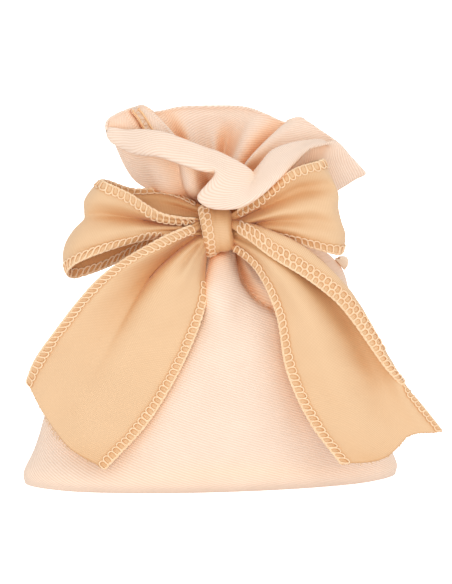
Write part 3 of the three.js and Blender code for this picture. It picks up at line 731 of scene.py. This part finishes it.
# Seam allowances inside the bag
def seam_strip(name, strip, facing):
    """A strip of cloth with a line of thread down each edge and a zigzag between them."""
    uv = ribbon_uv(strip)
    obj = cloth_sheet(f"{name}_allowance", strip, uv, SEAM_THICKNESS, TWILL)
    place(obj, "bag", [name], "seam_thread")
    lifted = strip + grid_normals(strip) * (facing * (SEAM_THICKNESS / 2 + 0.1))
    lines = lifted[:, 0], lifted[:, -1]
    where = resample(lines[0], ZIGZAG_PITCH)
    first, second = (pick(line, where) for line in lines)
    zigzag = np.where(np.arange(len(where))[:, None] % 2, second, first)
    tubes = [tube(line[::2], SEAM_LINE, 6) for line in lines] + [tube(zigzag, SEAM_ZIGZAG, 5)]
    threads = place(add_tubes(f"{name}_threads", tubes, SEAM_STITCH), "bag", [], "seam_thread")


def side_seam(name, side):
    """Allowance on the back panel's inner face, narrower where the frill spreads it."""
    normal = grid_normals(back_points)
    inner = -normal * np.sign(normal[40, 100, 1])
    lifted = back_points + inner * (CLOTH / 2 + SEAM_GAP + SEAM_THICKNESS / 2)
    row = np.arange(12, len(back_points) - 6, dtype=float)[:, None]
    wide = 13 - 7 * smooth(0.55, 0.7, row / len(back_points))
    column = 5 + wide * np.linspace(0, 1, 8)[None, :]
    if side < 0:
        column = back_points.shape[1] - 1 - column
    strip = sample(lifted, np.broadcast_to(row, column.shape), column)
    towards = sample(inner, row[30], column[30, 3:4])[0]
    seam_strip(name, strip, np.sign(grid_normals(strip)[30, 3] @ towards))


def bottom_seam(name):
    across = np.linspace(0, SEAM_WIDTH, 9)[None, :]
    from_corner = 16
    along = np.linspace(-1, 1, 80)[:, None] * (BASE_WIDTH / 2 - from_corner)
    strip = twisted(joined(along, across, 1.6 + 0.1 * np.sin(along * 0.7)))
    seam_strip(name, strip, np.sign(grid_normals(strip)[40, 4, 2]))


side_seam("left_side_seam", -1)
side_seam("right_side_seam", 1)
bottom_seam("bottom_seam")


# Stitches and the ribbon's gathers
def overlock(name, points, last, span, seed, sides=(1, -1), pitch=STITCH_PITCH, width=STITCH_WIDTH, second=0):
    """A ladder of rounded thread loops along the first or last column of a grid of cloth, and the thread that
    binds that edge; a second ladder lies inside the first for that share of its length."""
    rng = np.random.default_rng(seed)
    normal = grid_normals(points)
    if last:
        points, normal = points[:, ::-1], normal[:, ::-1]
    edge = points[span[0]:span[1], 0]
    where = span[0] + resample(edge, pitch)
    steps = np.linalg.norm(np.diff(points, axis=1), axis=-1)
    reach_of = np.concatenate([np.zeros((len(points), 1)), np.cumsum(steps, 1)], 1)
    spacing = np.linalg.norm(np.gradient(points[:, 0], axis=0), axis=1)
    turn = np.arange(16) / 16 * 2 * np.pi
    square = lambda wave: np.sign(wave) * np.abs(wave) ** 0.78
    tubes = []
    for row, share in enumerate((1, second)):
        for spot in where[:round(len(where) * share)]:
            for side in sides:
                j = min(int(round(spot)), len(points) - 1)
                length = pitch * rng.uniform(0.47, 0.52)
                reach = width * rng.uniform(0.94, 1.06)
                across = reach * (0.5 + 0.5 * square(np.sin(turn))) - 0.35 + row * (width - 0.25)
                slant = rng.uniform(0.1, 0.3) * side * (across - reach / 2)
                along = length * square(np.cos(turn)) + slant + row * pitch / 2
                height = side * (RIBBON / 2 + 0.75 * THREAD) * smooth(-0.4, 0.3, across)
                height = height + side * 0.12 * smooth(0.5, 1, np.sin(turn))
                inside = np.interp(across, reach_of[j], np.arange(points.shape[1]))
                column = np.where(across < 0, across / max(reach_of[j, 1], 0.05), inside)
                line = spot + along / max(spacing[j], 0.05)
                ring = sample(points, line, column) + sample(normal, line, column) * height[:, None]
                tubes.append(tube(ring, THREAD * rng.uniform(0.92, 1.12), 6, closed=True))
    fine = np.linspace(span[0], min(span[1], len(points)) - 1, len(where) * 6)
    bead = 0.27 + 0.07 * np.cos(np.linspace(0, len(where) * 2 * np.pi, len(fine)))
    tubes.append(tube(sample(points, fine, np.full(len(fine), -0.2)), bead, 8))
    return add_tubes(name, tubes, STITCH)


def add_ribbon(name, points, uv, body, runs, joint=None, thickness=RIBBON):
    """A ribbon on its body and the runs of stitches along its edges, each with what overlock needs."""
    cloth = cloth_sheet(f"{name}_ribbon", points, uv, thickness, RIBBON_CLOTH)
    place(cloth, body, [name], "ribbon", joint)
    stitches = []
    for label, stitch in runs.items():
        thread = overlock(f"{name}{label}_stitching", points, **stitch)
        stitches.append(place(thread, body, [f"{name}{label}_overlock"], "overlock", joint))
    return cloth, stitches


def gathers(across, along, height, count, phase, start, reach):
    """Small gathers beside the knot, which fade along the ribbon."""
    wave = height * np.cos(2 * np.pi * (count * across + phase))
    return wave * smooth(0, start, along) * bump(0, reach, along)


def root_at(side):
    """Where a loop and a tail leave the knot."""
    return KNOT + [side * (KNOT_WIDTH / 2 + 0.6), 0, 0]


# Loops of the bow: upper and lower edge from the front of the knot round the fold to the rear of the knot,
# as shares of the loop's length, of LOOP_DEPTH and of the ribbon's width. Of their folds, wave and bulge run
# across the ribbon, and crease along it from the knot to the loop's end. They are in millimetres.
left_loop = dict(
    upper=[
        (-0.1, -0.02, 0.09), (0.25, -0.32, 0.15), (0.5, -0.48, 0.335),
        (0.67, -0.38, 0.42), (0.72, -0.02, 0.43), (0.67, 0.36, 0.4),
        (0.48, 0.42, 0.32), (0.25, 0.42, 0.31), (-0.1, 0.24, 0.16),
    ],
    lower=[
        (-0.1, -0.02, -0.05), (0.3, -0.36, -0.05), (0.67, -0.55, -0.15),
        (0.89, -0.42, -0.265), (0.955, -0.02, -0.375), (0.9, 0.32, -0.425),
        (0.68, 0.38, -0.345), (0.31, 0.35, -0.135), (-0.1, 0.24, -0.06),
    ],
    gather=(0.75, 3.4, 0.1, 0.1, 0.4),
    wave=[
        (0, 0.5), (0.09, 1.3), (0.2, 0.8), (0.32, -0.9), (0.42, -1.9), (0.52, -0.3), (0.68, 1.6),
        (0.86, 0.9), (1, 0.1),
    ],
    crease=[(0, 0.1), (0.3, 1), (0.8, 0.85), (1, 0.5)],
    curl=1.6,
    bulge=[
        (0, -0.6), (0.1, 0.9), (0.22, 1.7), (0.34, 0.7), (0.42, 0.1), (0.52, 1.6), (0.66, 2.7),
        (0.82, 2.3), (1, 0),
    ],
)
right_loop = dict(
    upper=[
        (-0.14, -0.02, 0.1), (0.22, -0.24, 0.33), (0.5, -0.3, 0.53),
        (0.74, -0.26, 0.6), (0.79, 0.0, 0.605), (0.74, 0.25, 0.58),
        (0.55, 0.3, 0.5), (0.27, 0.36, 0.3), (-0.14, 0.24, 0.12),
    ],
    lower=[
        (-0.14, -0.02, -0.08), (0.3, -0.36, -0.05), (0.68, -0.46, -0.13),
        (0.91, -0.34, -0.19), (0.96, 0.0, -0.2), (0.9, 0.26, -0.19),
        (0.68, 0.3, -0.14), (0.3, 0.32, -0.05), (-0.14, 0.24, -0.06),
    ],
    gather=(0.9, 3.6, 0.2, 0.12, 0.5),
    wave=[
        (0, 0.4), (0.07, 1.4), (0.15, 0.2), (0.24, -1.8), (0.3, -1.7), (0.4, 0.5), (0.5, 1.0),
        (0.7, -0.2), (0.85, 0.7), (1, 0.1),
    ],
    crease=[(0, 0.1), (0.25, 0.9), (0.6, 1.1), (1, 0.5)],
    curl=0,
    bulge=[(0, 0), (0.15, 0.7), (0.36, 1.9), (0.52, 1.2), (0.66, 1.3), (0.8, 1.7), (0.92, 0.9), (1, 0)],
)


def loop_fold(loop, u, out, face, v):
    """How far each point of a loop lies forward and outward of a flat band."""
    fold = gathers(u, out, *loop["gather"]) + keyed(loop["wave"], u) * keyed(loop["crease"], out)
    curl = loop["curl"] * smooth(0.84, 1, u) * smooth(0.15, 0.5, out) * (1 - smooth(0.38, 0.5, v))
    turned_back = -2.8 * (1 - smooth(0, 0.13, u)) * smooth(0.55, 0.68, v) * (1 - smooth(0.9, 1, v))
    return face * fold + curl + turned_back, smooth(0.6, 1, out) * keyed(loop["bulge"], u)


def loop_grid(loop, side, length):
    v = np.linspace(0, 1, 150)
    u = np.linspace(0, 1, 44)
    size = [side * length, LOOP_DEPTH, RIBBON_WIDTH]
    upper, lower = (spline(root_at(side) + np.array(loop[edge]) * size, v) for edge in ("upper", "lower"))
    points = upper[:, None] * (1 - u)[None, :, None] + lower[:, None] * u[None, :, None]
    out = (1 - np.abs(2 * v - 1))[:, None]
    face = np.where(v < 0.5, 1.0, -1.0)[:, None] * smooth(0, 0.12, np.abs(v - 0.5))[:, None]
    forward, sideways = loop_fold(loop, u[None, :], out, face, v[:, None])
    points[..., 1] -= forward
    points[..., 0] += side * sideways
    uv = ribbon_uv(points)
    points[..., 1] -= 0.12 * ripples(uv[..., 0], uv[..., 1], 7, 3 + side)
    return points, uv


def add_loop(name, loop, side, length):
    points, uv = loop_grid(loop, side, length)
    joint = (root_at(side) + [side * -0.5, 0, 0], root_at(side) + [side * 7, 0, 0])
    span = (6, len(points) - 6)
    runs = {f"_{e}": dict(last=k, span=span, seed=10 + side + k) for k, e in enumerate(("upper", "lower"))}
    obj, stitches = add_ribbon(name, points, uv, name, runs, joint)


add_loop("left_loop", left_loop, -1, LEFT_LOOP_LENGTH)
add_loop("right_loop", right_loop, 1, RIGHT_LOOP_LENGTH)

# Tails: outer and inner line from the knot down over the front of the bag, as shares of the tail's length
TAIL_ROWS = 150
left_tail = {
    "outer": [
        (0.05, 0.015, 0.05), (-0.17, -0.1, -0.03), (-0.4, -0.115, -0.18),
        (-0.617, -0.09, -0.447), (-0.692, -0.05, -0.564), (-0.726, -0.025, -0.65),
    ],
    "inner": [
        (0.05, 0.015, -0.06), (0.033, -0.1, -0.174), (0.036, -0.135, -0.277),
        (-0.036, -0.165, -0.49), (-0.208, -0.17, -0.795), (-0.395, -0.155, -1.005),
    ],
}
right_tail = {
    "outer": [
        (-0.06, 0.015, 0.045), (0.08, -0.085, 0.02), (0.24, -0.11, -0.05),
        (0.42, -0.1, -0.22), (0.595, -0.07, -0.52), (0.66, -0.05, -0.625),
        (0.785, -0.03, -0.785),
    ],
    "inner": [
        (-0.06, 0.015, -0.055), (0.06, -0.095, -0.14), (0.14, -0.13, -0.3),
        (0.185, -0.155, -0.53), (0.275, -0.16, -0.73), (0.395, -0.15, -0.895),
    ],
}


def tail_grid(shares, side, length, fold, cut):
    """A tail's points: fold gives each point's share of the way across and its distance forward."""
    v = np.linspace(0, 1, TAIL_ROWS)
    u = np.linspace(0, 1, 60)
    outer, inner = (spline(root_at(side) + np.array(shares[edge]) * length, v) for edge in ("outer", "inner"))
    across, forward = fold(u[None, :], v[:, None], np.linalg.norm(outer - inner, axis=1)[:, None])
    points = outer[:, None] * (1 - across)[..., None] + inner[:, None] * across[..., None]
    points[..., 1] -= forward
    run = unit(np.gradient(points, axis=0))
    points = points + run * (cut(u)[None, :] * smooth(0.72, 1, v)[:, None])[..., None]
    uv = ribbon_uv(points)
    points[..., 1] -= 0.14 * ripples(uv[..., 0], uv[..., 1], 9, 21 + side) * smooth(0, 0.2, v)[:, None]
    least = front_depth(points[..., 0], points[..., 2]) + CLOTH / 2 + TAIL_CLEARANCE
    over = points[..., 1] + least
    points[..., 1] -= np.where(over > -1, (over + 1) ** 2 / 4 * (over < 1) + over * (over >= 1), 0)
    return points, uv


def left_tail_fold(u, v, _width):
    depth = [(0, 0.6), (0.06, 2.2), (0.15, 3.3), (0.28, 3.8), (0.42, 2.6), (0.58, 1.1)]
    depth = keyed(depth + [(0.75, 0.45), (1, 0.2)], v)
    wave = [(0, 0.8), (0.1, 0.95), (0.2, 0.5), (0.3, -0.15), (0.38, -0.6), (0.44, -0.65), (0.5, 0.15)]
    wave += [(0.57, 1.05), (0.67, 1.3), (0.82, 0.8), (1, 0)]
    lean = -0.022 * depth * bump(0.52, 0.08, u)
    pinch = gathers(u, v, 0.6, 4.5, 0.2, 0.05, 0.16)
    under = -2.0 * smooth(0.86, 1, u) * (1 - smooth(0.2, 0.34, v)) * smooth(0.02, 0.1, v)
    second = -2.4 * bump(0.61, 0.05, u) * smooth(0.03, 0.1, v) * (1 - smooth(0.18, 0.36, v))
    return u + lean, depth * keyed(wave, u) + pinch + under + second


def right_tail_fold(u, v, width):
    flap = [(0, 1.0), (0.12, 3.4), (0.3, 6.0), (0.42, 5.2), (0.52, 3.8), (0.64, 2.2), (0.76, 0.9)]
    flap = keyed(flap + [(0.86, 0.05), (1, 0.05)], v)
    part = np.maximum(flap / RIBBON_WIDTH, 0.004)
    in_flap = u < part
    t = np.clip(u / part, 0, 1)
    lateral = flap / width * (1 - t) ** 2 / ((1 - t) + 0.25) * 1.25
    s = np.clip((u - part) / (1 - part), 0, 1)
    main = s**2 / (s + 0.05) * 1.05
    open_flap = smooth(0, 2, flap)
    front = open_flap * 2.2 * (1 - t**3)
    valley = -keyed([(0, 0.3), (0.1, 1.4), (0.3, 2.4), (0.5, 2.3), (0.7, 1.9), (0.88, 0.9), (1, 0.3)], v)
    ridge = keyed([(0, 0), (0.4, 0), (0.6, 0.9), (0.8, 1.0), (1, 0.3)], v)
    from_valley = s - keyed([(0, 0.3), (0.3, 0.27), (0.6, 0.24), (1, 0.34)], v)
    main_depth = valley * bump(0, 1, from_valley / 0.15) + ridge * bump(0, 1, (from_valley + 0.19) / 0.09)
    main_depth = main_depth + 2.2 * bump(0.62, 0.2, s) * smooth(0.05, 0.3, v) * (1 - smooth(0.6, 1, v))
    main_depth = main_depth - open_flap * 0.8 * np.exp(-s / 0.05) * (s > 0)
    pinch = gathers(s, v, 0.6, 4, 0.3, 0.05, 0.18)
    return np.where(in_flap, lateral, main), np.where(in_flap, front, main_depth + pinch)


def left_cut(u):
    return 3.4 * np.sin(np.pi * u) ** 1.2 + 0.35 * np.sin(9 * u + 1) * np.sin(np.pi * u)


def right_cut(u):
    keys = [(0, 0), (0.1, -0.4), (0.22, -1.5), (0.34, -1.6), (0.46, 0.1), (0.62, 1.9), (0.8, 1.7)]
    return keyed(keys + [(0.93, 0.4), (1, 0)], u)


def frayed_end(name, points, seed, spans):
    """Loose ends of thread along a raw cut, longest in the spans of the width that are named."""
    rng = np.random.default_rng(seed)
    end, before = points[-1], points[-4]
    run = unit(end - before)
    side = unit(np.gradient(end, axis=0))
    tubes = []
    for share in np.sort(rng.uniform(0.02, 0.98, 90)):
        i = int(share * (len(end) - 1))
        base = pick(end, np.array([share * (len(end) - 1)]))[0]
        long = 1 + sum(1.2 * bump(middle, width, share) for middle, width in spans)
        length = rng.uniform(0.25, 0.7) * long
        bend = rng.normal(0, 0.35, 2)
        t = np.linspace(-0.3, 1, 6)[:, None]
        drift = side[i] * bend[0] * t * t + np.array([0, -1, 0]) * (0.15 + 0.3 * abs(bend[1])) * t * t
        path = base + run[i] * length * t + drift * length
        tubes.append(tube(path, np.linspace(0.1, 0.05, 6), 5))
    return add_tubes(name, tubes, FRAYED)


def add_tail(name, shares, side, length, fold, cut, spans, outer, inner):
    points, uv = tail_grid(shares, side, length, fold, cut)
    joint = (root_at(side) + [0, -2.7, 3.4], root_at(side) + [0, -4.5, -9])
    runs = {
        "_outer": dict(last=0, span=(10, len(points)), seed=40 + side) | outer,
        "_inner": dict(last=1, span=(10, len(points)), seed=41 + side) | inner,
    }
    obj, trims = add_ribbon(name, points, uv, name, runs, joint)
    fray = frayed_end(f"{name}_frayed_end", points, 7 + side, spans)
    trims.append(place(fray, name, [], "overlock", joint))


add_tail(
    "left_tail", left_tail, -1, LEFT_TAIL_LENGTH, left_tail_fold, left_cut, [(0.45, 0.2)],
    outer={}, inner={"span": (42, TAIL_ROWS)},
)
add_tail(
    "right_tail", right_tail, 1, RIGHT_TAIL_LENGTH, right_tail_fold, right_cut, [(0.85, 0.1), (0.05, 0.05)],
    outer={"width": DOUBLED_STITCH_WIDTH, "second": 0.62}, inner={},
)


# Knot: a turn of ribbon that lies over the middle of the bow, with two rows of its own edge's stitches
def knot_point(turn, x):
    """Point of the knot's band: turn goes round it from the front, x across it from -0.5 to 0.5."""
    size = [(-0.52, 0.88), (-0.46, 0.96), (-0.3, 1.0), (-0.12, 1.0), (0.02, 0.955), (0.14, 0.99)]
    size = keyed(size + [(0.3, 0.98), (0.45, 0.88), (0.52, 0.72)], x)
    lean = 0.3 + 0.65 * np.sin(turn)
    wide = KNOT_WIDTH * (0.72 + 0.03 * np.sin(turn) - 0.03 * np.cos(2 * turn))
    y = KNOT[1] - size * KNOT_DEPTH / 2 * np.cos(turn)
    tilt = 2.2 * x * smooth(0, 1, -np.sin(turn))
    z = KNOT[2] + size * KNOT_HEIGHT / 2 * np.sin(turn) + 0.15 * np.sin(3 * turn + 5 * x) + tilt
    return joined(KNOT[0] + x * wide - lean, y, z)


def add_knot():
    turn = np.linspace(math.pi + 0.06, -math.pi - 0.02, 120)
    points = knot_point(turn[:, None], np.linspace(-0.52, 0.52, 40)[None, :])
    uv = ribbon_uv(points)
    uv[..., 0] *= 12 / RIBBON_WIDTH
    front = np.flatnonzero(np.abs(turn) < 1.75)
    stitch = dict(last=0, span=(front[0], front[-1]), seed=60, sides=(-1,), pitch=1.45, width=1.65, second=1)
    knot, knot_stitches = add_ribbon("knot", points, uv, "bag", {"": stitch}, thickness=0.7)


# Ribbon bunched round the neck
def add_wrap():
    turn = np.linspace(1.5 * math.pi + 0.15, 3.5 * math.pi - 0.15, 160)[:, None]
    across = np.linspace(0, 1, 36)[None, :]
    wave = np.cos(2 * np.pi * 3.5 * across + 0.7 * np.sin(2 * turn) + 0.5 * np.sin(5 * turn))
    radius = (WRAP_INNER + WRAP_OUTER) / 2 + 0.42 * wave + 0.06 * np.sin(7 * turn)
    height = NECK_TOP - NECK_HEIGHT / 2 + 3.1 * (1 - 2 * across) + 0.25 * np.sin(3 * turn + 1)
    points = joined(NECK_OFFSET + radius * np.cos(turn), radius * np.sin(turn), height)
    stitch = dict(span=(0, len(points)), sides=(1,), width=1.5)
    runs = {"_upper": dict(last=0, seed=80) | stitch, "_lower": dict(last=1, seed=81) | stitch}
    wrap, wrap_stitches = add_ribbon("neck_wrap", points, ribbon_uv(points), "bag", runs)


# Small ribbon tab, a folded loop caught in the right side seam
def side_tab():
    height = TAB_SHARE * BODY_HEIGHT
    slope = body_at(height + 1)[0] - body_at(height - 1)[0]
    out = np.array([2, 0, -slope]) / math.hypot(2, slope)
    up = np.array([-out[2], 0, out[0]])
    seam = np.array([body_at(height)[0] + middle_at(height), 0, height])
    bend = np.linspace(-1, 1, 60)[:, None]
    across = np.linspace(-0.5, 0.5, 14)[None, :]
    share = 1 - np.abs(bend) ** 3
    reach = CLOTH / 2 + 0.1 + (TAB_REACH - RIBBON) * share * (1 - 0.55 * (2 * across) ** 2)
    spread = 0.75 * np.sin(bend * np.pi / 2 * 1.3) + 0.1 * np.sin(4 * bend)
    tall = TAB_HEIGHT * (1 - 0.25 * share) * across + 0.2 * np.sin(3 * bend)
    points = seam + reach[..., None] * out + spread[..., None] * np.array([0, 1, 0]) + tall[..., None] * up
    points = twisted(points)
    uv = ribbon_uv(points)
    uv[..., 0] *= TAB_HEIGHT / RIBBON_WIDTH
    tab = place(cloth_sheet("side_tab_ribbon", points, uv, RIBBON, TAB_CLOTH), "bag", ["side_tab"], "ribbon")


add_knot()
add_wrap()
side_tab()

# Camera at the photograph's angle: 8 degrees above level, through a long lens
LIFT = math.radians(8)
MM_PER_PIXEL = 0.263
PHOTO_WIDTH, PHOTO_HEIGHT = 452, 584
ORIGIN_AT = (211, 480.4)  # pixel of the photograph at which the part's origin lies
DISTANCE = 1.5
right = (PHOTO_WIDTH / 2 - ORIGIN_AT[0]) * MM_PER_PIXEL
up = (ORIGIN_AT[1] - PHOTO_HEIGHT / 2) * MM_PER_PIXEL / math.cos(LIFT)
aim = (np.array([right, 0, up]) + SHIFT) / 1000
camera = add_object("camera", bpy.data.cameras.new("camera"))
camera.location = Vector(aim) + DISTANCE * Vector((0, -math.cos(LIFT), math.sin(LIFT)))
camera.rotation_euler = (math.pi / 2 - LIFT, 0, 0)
camera.data.lens = camera.data.sensor_width * DISTANCE / (PHOTO_HEIGHT * MM_PER_PIXEL / 1000)
camera.data.clip_start, camera.data.clip_end = 0.1, 20
bpy.context.scene.camera = camera

# Stage
floor_mesh = bpy.data.meshes.new("floor")
floor_mesh.from_pydata([(-3, -3, 0), (3, -3, 0), (3, 3, 0), (-3, 3, 0)], [], [(0, 1, 2, 3)])
floor = add_object("floor", floor_mesh)
floor_material, tree = new_material("pale_floor")
floor_rays = add_node(tree, "LightPath", {})
floor_inputs = {
    "Base Color": (0.6, 0.6, 0.6, 1),
    "Roughness": 0.9,
    "Emission Color": (1, 1, 1, 1),
    "Emission Strength": math_node(tree, "MULTIPLY_ADD", floor_rays.outputs["Is Camera Ray"], 0.9, 0.4),
}
floor_mesh.materials.append(shaded(floor_material, floor_inputs))

world = bpy.data.worlds.new("studio")
bpy.context.scene.world = world
world.use_nodes = True
rays = add_node(world.node_tree, "LightPath", {})
strength = {"A": 0.85, "B": 1.0, "Factor": rays.outputs["Is Camera Ray"]}
strength = add_node(world.node_tree, "Mix", strength).outputs["Result"]
background = world.node_tree.nodes["Background"]
world.node_tree.links.new(strength, background.inputs["Strength"])
background.inputs["Color"].default_value = (1, 1, 1, 1)


def softbox(name, position, size, power):
    light = bpy.data.lights.new(name, "AREA")
    light.shape = "RECTANGLE"
    light.size, light.size_y = size
    light.energy = power
    obj = add_object(name, light)
    obj.location = position
    obj.rotation_euler = (Vector((0, 0, 0.05)) - Vector(position)).to_track_quat("-Z", "Y").to_euler()


softbox("key", (-0.1, -1.45, 0.16), (1.0, 0.3), 6)
softbox("fill", (0.9, -0.9, 0.6), (0.8, 0.8), 0.8)
softbox("top", (0.1, -0.35, 1.3), (1.0, 1.0), 2.2)
softbox("rear", (0.2, 1.45, 0.6), (1.0, 0.7), 5)
bpy.context.scene.view_settings.view_transform = "Standard"
